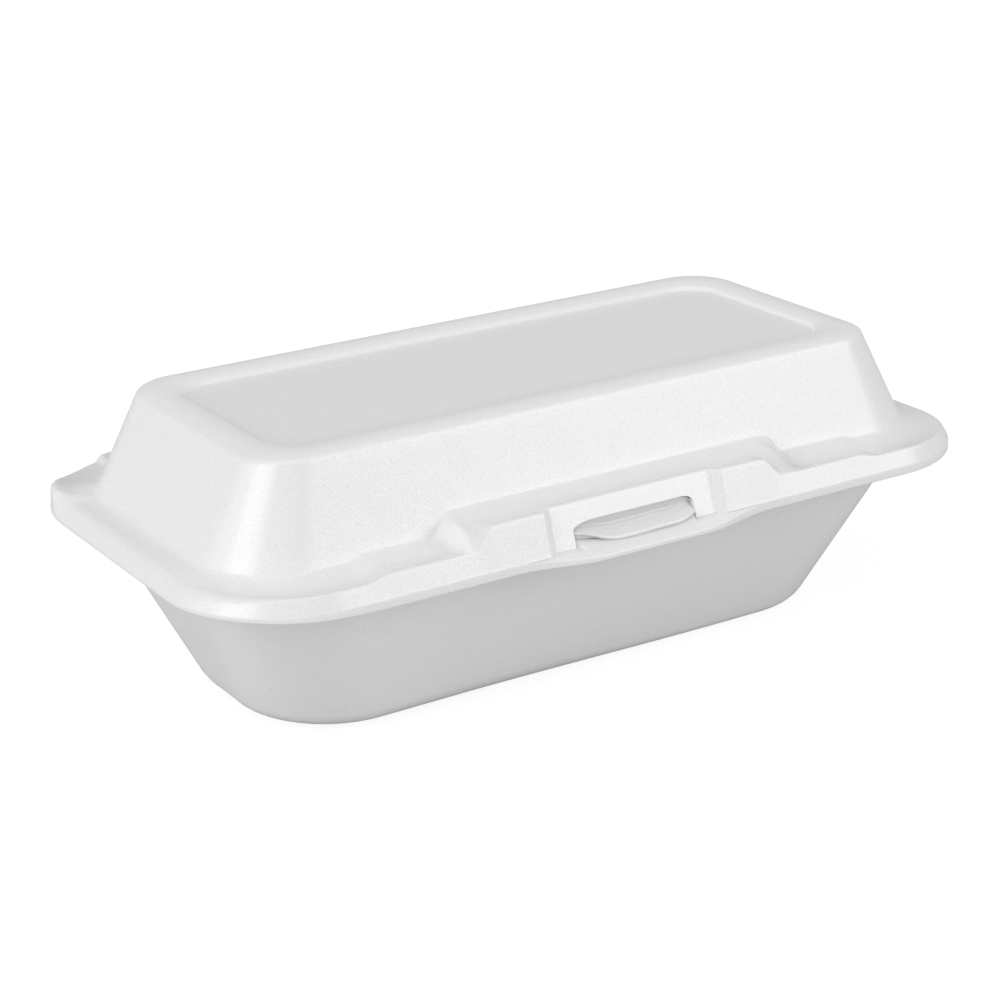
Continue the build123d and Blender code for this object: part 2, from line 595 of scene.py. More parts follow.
@dataclass
class Lid:
    """The lid: sunk panel, border, sloping wall, ledge with its steps, skirt, pocket and latch slot."""

    rim: Rim
    finish: FoamFinish = FoamFinish("skinned_foam", grain_depth=0.05, mottle=0.3, swell_depth=0.1)
    sharp: float = 60.0

    # Foam, and the width of its cut edge
    wall: float = 2.2
    inset: float = 1.45
    edge_width: float = 2.6

    # Land, skirt, ledge and wall
    land: float = 0.5
    land_inset: float = 0.22
    skirt_end: float = 3.5
    skirt_side: float = 1.7
    ledge_corner: float = 29.5
    ledge_height: float = 4.8
    ledge_end: float = 7.2
    ledge_fall: float = 1.3
    ledge_side: float = 14.6
    foot_corner: float = 22.0
    wall_end: float = 13.4
    wall_side: float = 8.1

    # Top: a crowned border, lower at its outer edge, round a sunk panel
    top_corner: float = 14.0
    border_end: float = 10.6
    border_side: float = 11.1
    crown: float = 0.7
    brow_drop: float = 0.2
    brow_left: float = 1.2
    brow_right: float = 0.3
    lip_drop: float = 0.2
    panel_corner: float = 10.0
    panel_depth: float = 1.25
    panel_slope: float = 0.7

    # Steps of the front ledge along the wall's foot, the gutter and the ledge's edge
    low_rise: float = 1.3
    tall_rise: float = 6.7
    step_lean: float = 0.27
    foot_ends: StepEnds = StepEnds((52.4, 59.0), (52.6, 56.8), (77.0, 84.0), 1.4)
    gutter_ends: StepEnds = StepEnds((52.0, 56.2), (49.2, 55.0), (75.8, 83.4))
    edge_ends: StepEnds = StepEnds((44.2, 50.6), (41.8, 48.4), (75.0, 83.0), -1.5)
    knob: Bump = Bump(1.0, -53.0, 1.7)

    # Gutter: its place between foot and edge, and its depth, as shares of the ledge's width
    gutter_place: float = 0.62
    gutter_place_end: float = 0.5
    gutter_depth: float = 0.085
    gutter_depth_end: float = 0.02

    # Back ledge, with an ear at each corner. Turns are degrees round the corner, from the end to the back
    spine_rise: float = 0.4
    spine_lean: float = 0.075
    spine_fall: Span = (98.0, 100.5)
    corner_sag: float = 1.4
    sag_turn: Span = (18.0, 50.0)
    ear_rise: float = 2.2
    ear_reach: float = 2.4
    ear_turn_in: Span = (0.0, 14.0)
    ear_turn_out: Span = (18.0, 62.0)
    ear_foot: float = 1.5
    ear_foot_in: Span = (5.0, 35.0)
    ear_foot_out: Span = (60.0, 85.0)

    # Pocket in the front skirt: its depth, the share of it at the ledge and at the rim, and its creases
    pocket_depth: float = 2.0
    pocket_high: float = 1.13
    pocket_low: float = 0.9
    pocket_crease: Span = (25.5, 28.5)

    # Slot and the strip below it. Away from the slot its lines divide the skirt by shares
    slot_half_length: ClassVar[float] = 19.4
    latch_shift: ClassVar[float] = -2.2
    slot_side: float = 4.4
    slot_top: float = 6.3
    slot_left: float = 7.5
    slot_right: float = 4.2
    slot_fade: float = 38.0
    slot_share: float = 0.5
    strip_share: float = 0.28
    strip_height: float = 0.8
    strip_left: float = 0.9
    strip_left_rise: Span = (5.0, 19.0)
    strip_right: float = 0.7
    strip_right_rise: Span = (9.0, 19.0)
    strip_recess: float = 1.6

    # Painted shade: shares by which recessed parts, where shade falls, are darker. The left step's shoulder
    # gets a painted highlight
    panel_shade: float = 0.05
    ledge_shade: float = 0.085
    step_shade: Bump = Bump(0.14, 54.0, 4.5)
    shoulder_highlight: Bump = Bump(-0.1, -53.2, 1.8)

    # Order of the control rings from the panel's middle outwards, and the rows that round the panel's edge
    PANEL_RING: ClassVar[int] = 1
    BORDER_RINGS: ClassVar[int] = 8
    FOOT_RING: ClassVar[int] = BORDER_RINGS + 3
    EDGE_RING: ClassVar[int] = FOOT_RING + 2
    SLOT_RING: ClassVar[int] = EDGE_RING + 1
    PANEL_ROUND: ClassVar[int] = 4

    def build(self, columns: Columns) -> bpy.types.Object:
        """The lid as one closed shell, with its slot cut through.

        Args:
            columns: The places round the box.

        Returns:
            The piece.
        """
        outer, inner = self._controls(columns)
        grid, starts = sweep(outer + inner)
        rows, count = grid.shape[:2]
        faces = grid_faces(rows, count)
        slot_row = starts[self.SLOT_RING]
        slot_rows = outer[self.SLOT_RING].run
        inner_row = starts[len(outer) + 1]
        far = np.abs(columns.ring(self.rim.outline, 0.0)[:, 0] - self.latch_shift)
        within = np.flatnonzero((columns.in_front() > 0) & (far <= self.slot_half_length + TINY))
        strip = slice(slot_row + slot_rows, starts[len(outer)])
        grid[strip, within[1:-1], 1] += self.strip_recess
        keep = np.ones(faces.shape[:2], bool)
        keep[slot_row:slot_row + slot_rows, within[:-1]] = False
        keep[inner_row:inner_row + slot_rows, within[:-1]] = False
        index = np.arange(rows * count).reshape(rows, count)
        wall = self._slot_wall(index, slot_row, inner_row, slot_rows, within)
        every = np.concatenate([faces[keep], wall])
        # Painted shade for the material: how much each point is darkened
        sunk = self._painted_shade(columns, rows, starts).reshape(-1)
        return make_piece("lid_shell", grid.reshape(-1, 3), every, self.sharp, {"sunk": sunk})

    def dress(self, piece: bpy.types.Object) -> None:
        """Gives the shell its finish and lets it ride on the lid's body."""
        dress(piece, self.finish, Slot.SHEET, "lid")
        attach(piece, Body.LID.value)

    def _painted_shade(self, columns: Columns, rows: int, starts: list[int]) -> Array:
        """The painted shade of each point: a little on the sunk panel and along the long sides' ledge.

        Across the ledge it is half a sine wave from foot to edge. Along the front ledge it is more about
        the right step and less, down to a painted highlight, on the left step's round shoulder, each as a
        soft bump of x.

        Args:
            columns: The places round the box.
            rows: The number of rows.
            starts: The row at which the run after each control ring starts.

        Returns:
            A share for each point, as rows by columns.
        """
        panel, foot, edge = (starts[k] for k in (self.PANEL_RING, self.FOOT_RING, self.EDGE_RING))
        row = np.arange(rows, dtype=float)
        flat = self.panel_shade * (1.0 - ease(row, panel - self.PANEL_ROUND, panel - 1))
        across = np.sin(np.pi * np.clip((row - foot) / (edge - foot), 0.0, 1.0))
        x = columns.ring(self.rim.outline, 0.0)[:, 0]
        # Painted shade about the right step, and a painted highlight on the left step's shoulder
        steps = self.step_shade.at(x) + self.shoulder_highlight.at(x)
        along = columns.by_side(self.ledge_shade, 0.0) + columns.in_front() * steps
        return flat[:, None] + np.outer(across, along)

    def _controls(self, columns: Columns) -> tuple[list[Bend], list[Bend]]:
        """The control rings of the outer and the inner face.

        Args:
            columns: The places round the box.

        Returns:
            The outer rings from the panel's middle to the rim, and the inner ones back to the middle.
        """
        ring, by_side = columns.ring, columns.by_side
        rim, base, top = self.rim.outline, self.rim.height, self.rim.top
        ledge = rim.drawn_in(self.skirt_end, self.skirt_side, rim.corner - self.ledge_corner)
        foot = ledge.drawn_in(self.ledge_end, self.ledge_side, self.ledge_corner - self.foot_corner)
        border = foot.drawn_in(self.wall_end, self.wall_side, self.foot_corner - self.top_corner)
        panel = border.drawn_in(self.border_end, self.border_side, self.top_corner - self.panel_corner)
        lip = panel.inset(-self.panel_slope)
        sunk = top - self.panel_depth
        level = base + self.ledge_height
        corner = ring(border, top)
        corner[:, 2] -= self._brow(columns)
        land = ring(rim.inset(self.land_inset), base + self.land)
        skirt = self._steps(columns, corner, ring(foot, level), ring(ledge, level), land)
        outer = [
            Bend(ring(panel.spine(), sunk), run=4),
            Bend(ring(panel, sunk), cut=0.5, steps=self.PANEL_ROUND),
            *self._border(columns, lip, border),
            Bend(corner, cut=by_side(2.4, 3.6), steps=7, run=9),
            Bend(skirt["foot"], cut=by_side(0.9, 2.2), steps=6, run=3, room=0.9),
            Bend(skirt["gutter"], cut=by_side(3.6, 0.05), steps=6, run=3),
            Bend(skirt["edge"], cut=by_side(0.5, 3.0), steps=7, run=5, room=0.9),
            Bend(skirt["slot_top"], run=5),
            Bend(skirt["slot_bottom"], run=4),
            Bend(skirt["land"], cut=0.05, steps=2),
            Bend(self._pocketed(columns, ring(rim, base), self.pocket_low), cut=0.04, steps=2),
        ]
        t, i = self.wall, self.inset
        in_corner = ring(border.inset(i), top - t)
        in_foot = ring(foot.inset(i), level - t)
        in_edge = ring(ledge.inset(i), level - t)
        in_skirt = self._steps(columns, in_corner, in_foot, in_edge, ring(rim.inset(self.edge_width), base))
        inner = [
            Bend(in_skirt["land"], cut=0.25, steps=3, run=4),
            Bend(in_skirt["slot_bottom"], run=5),
            Bend(in_skirt["slot_top"], run=5),
            Bend(in_skirt["edge"], cut=1.2, steps=4, run=2),
            Bend(in_skirt["foot"], cut=4.5, steps=6, run=5),
            Bend(in_corner, cut=2.0, steps=5, run=2),
            Bend(ring(lip.inset(-t), top - t), cut=1.0, steps=3),
            Bend(ring(panel.inset(-t / 2), sunk - t), cut=1.0, steps=3, run=3),
            Bend(ring(panel.spine(), sunk - t)),
        ]
        return outer, inner

    def _brow(self, columns: Columns) -> Array:
        """How far the border's outer edge lies below the lid's top: most at the left end, which sags."""
        end = np.where(columns.turn[:, 0] < 0.0, self.brow_left, self.brow_right)
        return columns.by_side(self.brow_drop, end)

    def _border(self, columns: Columns, lip: Outline, edge: Outline) -> list[Bend]:
        """The crowned border between the panel's lip and the top of the wall.

        Its height is the straight line between both plus crown * 4t(1 - t), t the share of the way out.

        Args:
            columns: The places round the box.
            lip: The outline of the panel's lip.
            edge: The outline of the border's outer edge.

        Returns:
            The rings from the lip on, without the one at the outer edge.
        """
        brow = self._brow(columns)
        rings = [Bend(columns.ring(lip, self.rim.top - self.lip_drop), cut=0.45, steps=4)]
        for t in np.linspace(0.0, 1.0, self.BORDER_RINGS + 1)[1:-1]:
            place = columns.ring(lip.toward(edge, float(t)), self.rim.top)
            place[:, 2] -= self.lip_drop + (brow - self.lip_drop) * t - self.crown * 4.0 * t * (1.0 - t)
            rings.append(Bend(place))
        return rings

    def _pocketed(self, columns: Columns, ring: Array, share: float) -> Array:
        """A ring of the front skirt, moved in between the pocket's creases.

        Args:
            columns: The places round the box.
            ring: The ring.
            share: The share of the pocket's depth at this ring.

        Returns:
            The moved ring.
        """
        moved = ring.copy()
        far = np.abs(ring[:, 0] - self.latch_shift)
        depth = self.pocket_depth * share * (1.0 - ease(far, *self.pocket_crease))
        moved[:, 1] += depth * columns.in_front()
        return moved

    def _steps(
        self, columns: Columns, top: Array, foot: Array, edge: Array, land: Array
    ) -> dict[str, Array]:
        """Raises the ledge along its steps, and sinks the pocket into its front.

        In front the rise is a sum of soft steps along x, which end further out at the wall's foot than at
        the ledge's edge. The foot slides along the wall to its new height, and the edge leans back as it
        rises. Towards the ends of the box the ledge falls to its edge, and at the back corners it has ears.
        Between foot and edge it sinks to a shallow gutter, deeper where the ledge is wider. In front the
        gutter has its own steps, with a small knob on the left one.

        Args:
            columns: The places round the box.
            top: The ring at the top of the wall.
            foot: The ring at the wall's foot.
            edge: The ring at the ledge's outer edge.
            land: The ring at the skirt's lower end.

        Returns:
            The rings by name: foot, gutter, edge, slot_top, slot_bottom and land.
        """
        front = columns.in_front()
        turned = columns.back_angle()
        heights = self.low_rise, self.tall_rise
        rise_foot = front * self.foot_ends.rise(foot[:, 0], *heights) + self._back_rise(columns, foot)
        swollen = ease(turned, *self.ear_foot_in) * (1.0 - ease(turned, *self.ear_foot_out))
        rise_foot += self.ear_foot * swollen
        rise_edge = front * self.edge_ends.rise(edge[:, 0], *heights) + self._back_rise(columns, edge)
        share = rise_foot / (top[:, 2] - foot[:, 2])
        foot = foot + (top - foot) * share[:, None]
        lean = rise_edge * (self.step_lean * front - self.spine_lean * columns.behind())
        edge = edge + np.stack([0 * lean, lean, rise_edge], axis=1)
        ear = ease(turned, *self.ear_turn_in) * (1.0 - ease(turned, *self.ear_turn_out))
        edge[:, :2] += columns.turn * (self.ear_reach * ear)[:, None]
        edge[:, 2] += self.ear_rise * ear - columns.by_side(0.0, self.ledge_fall)
        edge = self._pocketed(columns, edge, self.pocket_high)
        land = self._pocketed(columns, land, self.pocket_low)
        gutter = foot + (edge - foot) * columns.by_side(self.gutter_place, self.gutter_place_end)[:, None]
        plain = (1.0 - self.gutter_place) * rise_foot + self.gutter_place * rise_edge
        own = self.gutter_ends.rise(gutter[:, 0], *heights) + self.knob.at(gutter[:, 0])
        width = np.linalg.norm((edge - foot)[:, :2], axis=1)
        gutter[:, 2] += front * (own - plain)
        gutter[:, 2] -= columns.by_side(self.gutter_depth, self.gutter_depth_end) * width
        lines = self._slot_lines(columns, edge, land)
        return {"foot": foot, "gutter": gutter, "edge": edge, "land": land, **lines}

    def _back_rise(self, columns: Columns, ring: Array) -> Array:
        """The back ledge's rise: level between its falls, and sagging round the corners.

        Args:
            columns: The places round the box.
            ring: The ring that rises.

        Returns:
            The rise at each place, which is 0 away from the back.
        """
        level = (self.spine_rise + self.corner_sag) * (1.0 - ease(np.abs(ring[:, 0]), *self.spine_fall))
        sag = self.corner_sag * ease(columns.back_angle(), *self.sag_turn)
        return columns.behind() * (level - sag)

    def _slot_lines(self, columns: Columns, edge: Array, land: Array) -> dict[str, Array]:
        """The slot's upper and lower line on the straight skirt.

        At the slot they are its own heights. Away from it they divide the skirt by shares.

        Args:
            columns: The places round the box.
            edge: The ring at the skirt's upper end.
            land: The ring at the skirt's lower end.

        Returns:
            The rings slot_top and slot_bottom.
        """
        tall = edge[:, 2] - land[:, 2]
        x = land[:, 0] - self.latch_shift
        near = columns.in_front() * (1.0 - ease(np.abs(x), self.slot_half_length, self.slot_fade))
        upper = near * self.slot_line(x) + (1 - near) * (land[:, 2] + self.slot_share * tall)
        lower = near * self.strip_line(x) + (1 - near) * (land[:, 2] + self.strip_share * tall)
        lines = {}
        for key, height in (("slot_top", upper), ("slot_bottom", lower)):
            part = ((height - land[:, 2]) / tall)[:, None]
            lines[key] = land + (edge - land) * part
        return lines

    def strip_line(self, x: Array) -> Array:
        """The slot's lower line, which rises softly to both ends, more to the left.

        Args:
            x: Places from the latch's middle.

        Returns:
            The line's height at each place.
        """
        left = self.strip_left * ease(-x, *self.strip_left_rise)
        right = self.strip_right * ease(x, *self.strip_right_rise)
        return self.rim.height + self.strip_height + left + right

    def slot_line(self, x: Array) -> Array:
        """The slot's upper line, which is level, with a quarter ellipse down at each end.

        Args:
            x: Places from the latch's middle.

        Returns:
            The line's height at each place.
        """
        length = np.where(x < 0.0, self.slot_left, self.slot_right)
        into = np.clip((np.abs(x) - self.slot_half_length + length) / length, 0.0, 1.0)
        arch = (self.slot_top - self.slot_side) * np.sqrt(1.0 - into * into)
        return self.rim.height + self.slot_side + arch

    @staticmethod
    def _slot_wall(index: Array, outer: int, inner: int, count: int, within: Array) -> Array:
        """The faces that line the slot, between the holes in the outer and the inner face.

        Args:
            index: The index of each grid point.
            outer: The outer row of the slot's upper line.
            inner: The inner row of the slot's lower line.
            count: The number of face rows in the slot.
            within: The columns across the slot.

        Returns:
            The faces, as rows of four indices.
        """
        left, right = within[:-1], within[1:]
        up, down = index[outer], index[outer + count]
        in_up, in_down = index[inner + count], index[inner]
        upper = np.stack([up[right], up[left], in_up[left], in_up[right]], axis=1)
        lower = np.stack([down[left], down[right], in_down[right], in_down[left]], axis=1)
        out_rows = index[outer:outer + count + 1]
        in_rows = index[inner:inner + count + 1][::-1]
        ends = []
        for column, flip in ((within[0], False), (within[-1], True)):
            a, b = out_rows[:, column], in_rows[:, column]
            quad = np.stack([a[:-1], a[1:], b[1:], b[:-1]], axis=1)
            ends.append(quad[:, ::-1] if flip else quad)
        return np.concatenate([upper, lower, *ends])


def long_side_stations(half_run: float) -> Array:
    """Places along a long side, close together at the slot, the pocket's creases and the ledge's steps.

    Args:
        half_run: Half the length of the rim's straight stretch.

    Returns:
        Places from -1 to 1. The slot's own places lie about the latch's middle.
    """
    past_pocket, before_tall, past_tall, before_low = 33.0, 41.0, 63.0, 73.0
    stretches = [(past_pocket, 28), (before_tall, 5), (past_tall, 30), (before_low, 5), (half_run, 18)]
    slot = Lid.latch_shift + crowded(Lid.slot_half_length, 51)
    sides = []
    for start in (abs(slot[0]), abs(slot[-1])):
        rest = []
        for end, count in stretches:
            rest.append(np.linspace(start, end, count)[1:])
            start = end
        sides.append(np.concatenate(rest))
    return np.concatenate([-sides[0][::-1], slot, sides[1]]) / half_run


@dataclass
class Tongue:
    """The latch tongue: it stands behind the lid's strip and comes out through the slot.

    Depths run from the rim's front edge to the back. The lip's lower edge starts a little below the rim
    plane and rises along spans of x, measured from the latch's middle.
    """

    rim: Rim
    half_length: float = 19.35
    stations: int = 65
    root: float = 0.6
    root_depth: float = 8.8
    crest: float = 0.5
    crest_depth: float = 7.4
    brow: float = 0.2
    brow_depth: float = 7.0
    face_depth: float = 5.15
    face_lean: float = 0.25
    face_height: float = 6.1
    stem_depth: float = 4.25
    stem_gap: float = 0.1
    nook_depth: float = 2.1
    nook_share: float = 0.27
    roof_gap: float = 0.1
    lip_reach: float = 0.4
    lip_sink: float = 0.05
    lip_left: float = 3.45
    lip_left_rise: Span = (6.5, 19.4)
    lip_middle: float = 0.3
    lip_middle_rise: Span = (-2.0, 8.0)
    lip_right: float = 1.35
    lip_right_rise: Span = (12.0, 19.4)
    end_depth_left: float = 3.6
    end_depth_right: float = 3.1
    blunt_left: float = 2.6
    blunt_right: float = 7.0
    # Painted shade: darkest on the faces deep in the slot, where the lid's edge shades them, less on shelf,
    # crease and lip
    inner_shade: float = 0.2
    shelf_shade: float = 0.07
    crease_shade: float = 0.03
    lip_shade: float = 0.06
    rounding: float = 0.3
    rounding_steps: int = 4

    def sections(self, lid: Lid) -> tuple[Array, Array]:
        """The tongue's sections along x.

        At each station the section is a rounded polygon: the root on the flange, a back that closes the
        slot, an upright face that curves out to a shelf, a crease and the lip in front of the strip. In
        plan the lip is the arch (1 - d^n)^(1/2) of the share d of the way to its end, blunter on the right.
        Its lower edge rises to both ends, more to the left, so that the tongue's face is a lens under the
        slot's upper line. The face's places are shares of its depth and height.

        Args:
            lid: The lid whose slot the tongue fills.

        Returns:
            The sections' points, as stations by points by three, and the painted shade of each point of a
            section: the share by which it is darker, most on the faces in the slot, where shade falls.
        """
        base = self.rim.height
        front = self.rim.outline.half_width
        x = crowded(self.half_length, self.stations)
        blunt = np.where(x < 0.0, self.blunt_left, self.blunt_right)
        least = front - np.where(x < 0.0, self.end_depth_left, self.end_depth_right)
        arch = np.sqrt(np.clip(1.0 - (np.abs(x) / self.half_length) ** blunt, 0.0, 1.0))
        reach = least + (front + self.lip_reach - least) * arch
        slot = lid.slot_line(x)
        low = base - self.lip_sink + self.lip_left * ease(-x, *self.lip_left_rise)
        low += self.lip_middle * ease(x, *self.lip_middle_rise)
        low += self.lip_right * ease(x, *self.lip_right_rise)
        tall = (slot - low) / self.face_height
        back = np.full_like(x, front - self.face_depth)
        deep = reach - back
        roof = lid.strip_line(x) + self.roof_gap
        nook = np.minimum(reach - self.nook_share * deep, front - self.nook_depth)
        stem = np.minimum(front - self.stem_depth, nook - self.stem_gap)
        foot = np.full_like(x, base - self.root)
        root = np.full_like(x, front - self.root_depth)
        crest = np.full_like(x, front - self.crest_depth)
        brow = np.full_like(x, front - self.brow_depth)
        # painted shade of the points in the slot's shadow
        inner = self.inner_shade
        outline = [
            (root, foot, inner),
            (root, slot + self.crest, inner),
            (crest, slot + self.crest, inner),
            (brow, slot - self.brow, inner),
            (back + self.face_lean, slot - self.face_lean, inner),
            (back, low + 3.5 * tall, inner),
            (back + 0.22 * deep, low + 2.4 * tall, self.shelf_shade),
            (reach - 0.42 * deep, low + 1.95 * tall, self.crease_shade),
            (reach - 0.06 * deep, low + 1.45 * tall, self.lip_shade),
            (reach, low + 0.7 * tall, inner),
            (reach - 0.08 * deep, low, inner),
            (reach - 0.21 * deep, low + 0.15 * tall, inner),
            (nook, roof, inner),
            (stem, roof, inner),
            (stem, foot, 0.0),
        ]
        corners = np.stack([np.stack([x + lid.latch_shift, -y, z], axis=1) for y, z, _ in outline])
        shades = np.repeat([shade for _, _, shade in outline], self.rounding_steps)
        return rounded_loop(corners, self.rounding, self.rounding_steps), shades


@dataclass
class TabRamp:
    """The thumb tab's rise to the slot, in front of the lid's strip: a low wedge as long as the slot.

    Depths run from the rim's front edge to the back, and drops down from the rim plane.
    """

    rim: Rim
    tab_reach: float
    stations: int = 49
    end_gap: float = 0.03
    end_run: float = 1.6
    over_strip: float = 0.15
    lean: float = 0.3
    back_depth: float = 3.75
    back_drop: float = 1.0
    crest_depth: float = 2.6
    crest_round: float = 0.05
    slope_depth: float = 2.5
    slope_run: float = 1.5
    slope_fall: float = 0.3
    toe_depth: float = 2.4
    toe_inset: float = 0.6
    toe_drop: float = 0.4
    toe_swell: float = 0.2
    under_inset: float = 0.8
    under_drop: float = 1.8
    # Painted shade, an even share over the whole wedge
    shade: float = 0.07
    rounding: float = 0.3
    rounding_steps: int = 4

    def sections(self, lid: Lid) -> Array:
        """The wedge's sections along x: its crest follows the strip, and it swells forward in between.

        Args:
            lid: The lid whose slot the wedge meets.

        Returns:
            The sections' points, as stations by points by three.
        """
        base = self.rim.height
        front = self.rim.outline.half_width
        half = lid.slot_half_length - self.end_gap
        x = crowded(half, self.stations)
        crest = lid.strip_line(x) - base + self.over_strip
        swell = ease(half - np.abs(x), 0.0, self.end_run)
        back = np.full_like(x, front - self.back_depth)
        slope = front - self.slope_depth + self.slope_run * swell
        toe = front - self.toe_depth + (self.tab_reach - self.toe_inset) * swell
        under = front - self.toe_depth + (self.tab_reach - self.under_inset) * swell
        outline = [
            (back, np.full_like(x, base - self.back_drop)),
            (back - self.crest_round - self.lean * crest, base + crest - self.crest_round),
            (front - self.crest_depth - self.lean * crest, base + crest),
            (slope, base + self.crest_round + (crest - self.slope_fall) * swell),
            (toe, base - self.toe_drop - self.toe_swell * swell),
            (under, np.full_like(x, base - self.under_drop)),
        ]
        corners = np.stack([np.stack([x + lid.latch_shift, -y, z], axis=1) for y, z in outline])
        return rounded_loop(corners, self.rounding, self.rounding_steps)


@dataclass
class Tray:
    """The tray: tub, flange with its thumb tab, and the latch tongue."""

    rim: Rim
    finish: FoamFinish = FoamFinish(
        "smooth_foam", grain_depth=0.03, mottle=0.24, swell_depth=0.1, speck=(-94.1, -28.1, 15.0)
    )
    sharp: float = 60.0

    # Foam, and the flange's edge, which is thinner at the left end
    wall: float = 2.4
    flange: float = 2.3
    edge_left: float = 0.85
    edge_grows: Span = (-120.0, -75.0)
    edge_least: float = 0.6
    flange_end: float = 9.5
    flange_side: float = 10.0
    shelf_inset: float = 1.2
    under_inset: float = 3.5

    # Tub: the floor's edge is rounder on the left
    mouth_corner: float = 32.0
    run_end: float = 22.1
    run_side: float = 22.0
    floor_corner: float = 29.0
    floor_round: float = 6.8
    floor_round_right: float = 3.8
    floor_round_turns: Span = (-40.0, 50.0)

    # Thumb tab
    tab_reach: float = 4.7
    tab_flat: float = 16.0
    tab_end: float = 41.0
    tab_fall: float = 0.9
    tab_shelf: float = 1.6
    tab_round: float = 0.25

    def build(self, columns: Columns, lid: Lid) -> bpy.types.Object:
        """The tray as one closed shell, with the tongue and the tab's ramp standing on its flange.

        Args:
            columns: The places round the box.
            lid: The lid whose slot the tongue fills.

        Returns:
            The piece.
        """
        grid, _ = sweep(self._controls(columns))
        tub = grid.reshape(-1, 3)
        faces = grid_faces(*grid.shape[:2]).reshape(-1, 4)
        sections, shades = Tongue(self.rim).sections(lid)
        tongue, tongue_faces = capped_tube(sections, len(tub))
        ramp_form = TabRamp(self.rim, self.tab_reach)
        ramp, ramp_faces = capped_tube(ramp_form.sections(lid), len(tub) + len(tongue))
        tips = [0.0, 0.0]
        # Painted shade: none on the tub, the tongue's own, and an even share on the ramp
        tongue_painted_shade = np.append(np.tile(shades, len(sections)), tips)
        sunk = np.concatenate([np.zeros(len(tub)), tongue_painted_shade, np.full(len(ramp), ramp_form.shade)])
        points = np.concatenate([tub, tongue, ramp])
        every = np.concatenate([faces, tongue_faces, ramp_faces])
        return make_piece("tray_shell", points, every, self.sharp, {"sunk": sunk})

    def dress(self, piece: bpy.types.Object) -> None:
        """Gives the shell its finish and lets it ride on the tray's body."""
        dress(piece, self.finish, Slot.SHEET, "tray")
        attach(piece, Body.TRAY.value)

    def _controls(self, columns: Columns) -> list[Bend]:
        """The control rings from the middle of the inside, over the flange, to the middle of the underside.

        Args:
            columns: The places round the box.

        Returns:
            The rings in order.
        """
        ring = columns.ring
        rim, base = self.rim.outline, self.rim.height
        less_corner = self.mouth_corner - self.floor_corner
        mouth = rim.drawn_in(self.flange_end, self.flange_side, rim.corner - self.mouth_corner)
        floor = mouth.drawn_in(self.run_end, self.run_side, less_corner)
        under = base - self.flange
        brink = ring(rim, base)
        tab = self._tab_share(columns, brink)
        brink[:, 1] -= self.tab_reach * tab
        shelf = ring(rim.inset(self.shelf_inset), base)
        shelf[:, 1] -= self.tab_shelf * self._tab_share(columns, shelf)
        thick = self.edge_left + (self.flange - self.edge_left) * ease(brink[:, 0], *self.edge_grows)
        brink_under = brink.copy()
        brink_under[:, 2] = base - thick
        brink[:, 2] -= np.minimum(self.tab_fall * tab, thick - self.edge_least)
        fallen = 1.0 - under / base
        neck = mouth.drawn_in(self.run_end * fallen, self.run_side * fallen, less_corner * fallen)
        bottom = ring(floor, 0.0)
        rounder = self.floor_round - self.floor_round_right
        floor_cut = self.floor_round - rounder * ease(bottom[:, 0], *self.floor_round_turns)
        w = self.wall
        return [
            Bend(ring(floor.inset(w).spine(), w), run=5),
            Bend(ring(floor.inset(w), w), cut=5.0, steps=8, run=10),
            Bend(ring(mouth.inset(w), base), cut=1.0, steps=5, run=5),
            Bend(shelf, cut=0.4, steps=3, run=2),
            Bend(brink, cut=0.1 + self.tab_round * tab, steps=4, run=2),
            Bend(brink_under, cut=0.3, steps=4, run=2),
            Bend(ring(rim.inset(self.under_inset), under), cut=1.2, steps=4, run=3),
            Bend(ring(neck, under), cut=1.6, steps=5, run=14),
            Bend(bottom, cut=floor_cut, steps=12, run=5),
            Bend(ring(floor.spine(), 0.0)),
        ]

    def _tab_share(self, columns: Columns, ring: Array) -> Array:
        """How much of the thumb tab each place has: a flat-topped bump that dies away to both sides."""
        return columns.in_front() * (1.0 - ease(np.abs(ring[:, 0]), self.tab_flat, self.tab_end))


@dataclass
class LivingHinge:
    """The pressed fold of the sheet along the back, which bends as the lid opens."""

    rim: Rim
    finish: FoamFinish = FoamFinish(
        "pressed_foam", grain_depth=0.02, mottle=0.1, swell_depth=0.05, color=(0.86, 0.86, 0.86)
    )
    sharp: float = 50.0
    stations: int = 45
    grip: float = 0.25
    crease: float = 0.25
    inner_crease: float = 0.2
    leaf_gap: float = 0.1
    bend_half_height: float = 0.25
    rounding: float = 0.3
    rounding_steps: int = 3

    def build(self) -> bpy.types.Object:
        """The fold as a thin strip, drawn out along x.

        Its section runs up the outside, with a crease in the rim plane, and back down the inside.

        Returns:
            The piece.
        """
        low, high = node_box("living_hinge")
        back, far = low[1], high[1]
        inside = back - self.grip
        deep = far - back
        base = self.rim.height
        section = [
            (inside, low[2] + 0.15),
            (back + 0.55 * deep, low[2] + 0.25),
            (far, low[2] + 0.45 * (base - low[2])),
            (far - 0.05, base - 0.35),
            (far - self.crease, base),
            (far - 0.05, base + 0.3),
            (back + 0.7 * deep, high[2] - 0.2),
            (inside, high[2] - 0.1),
            (inside, base + self.leaf_gap),
            (back + self.inner_crease, base),
            (inside, base - self.leaf_gap),
        ]
        x = np.linspace(low[0], high[0], self.stations)
        level = np.ones_like(x)
        corners = np.stack([np.stack([x, y * level, z * level], axis=1) for y, z in section])
        points, faces = capped_tube(rounded_loop(corners, self.rounding, self.rounding_steps))
        return make_piece("hinge_fold", points, faces, self.sharp, {})

    def dress(self, piece: bpy.types.Object) -> None:
        """Gives the fold its finish and bakes its place into its mesh.

        Args:
            piece: The fold.
        """
        dress(piece, self.finish, Slot.PRESSED, "living_hinge")
        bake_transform(piece)


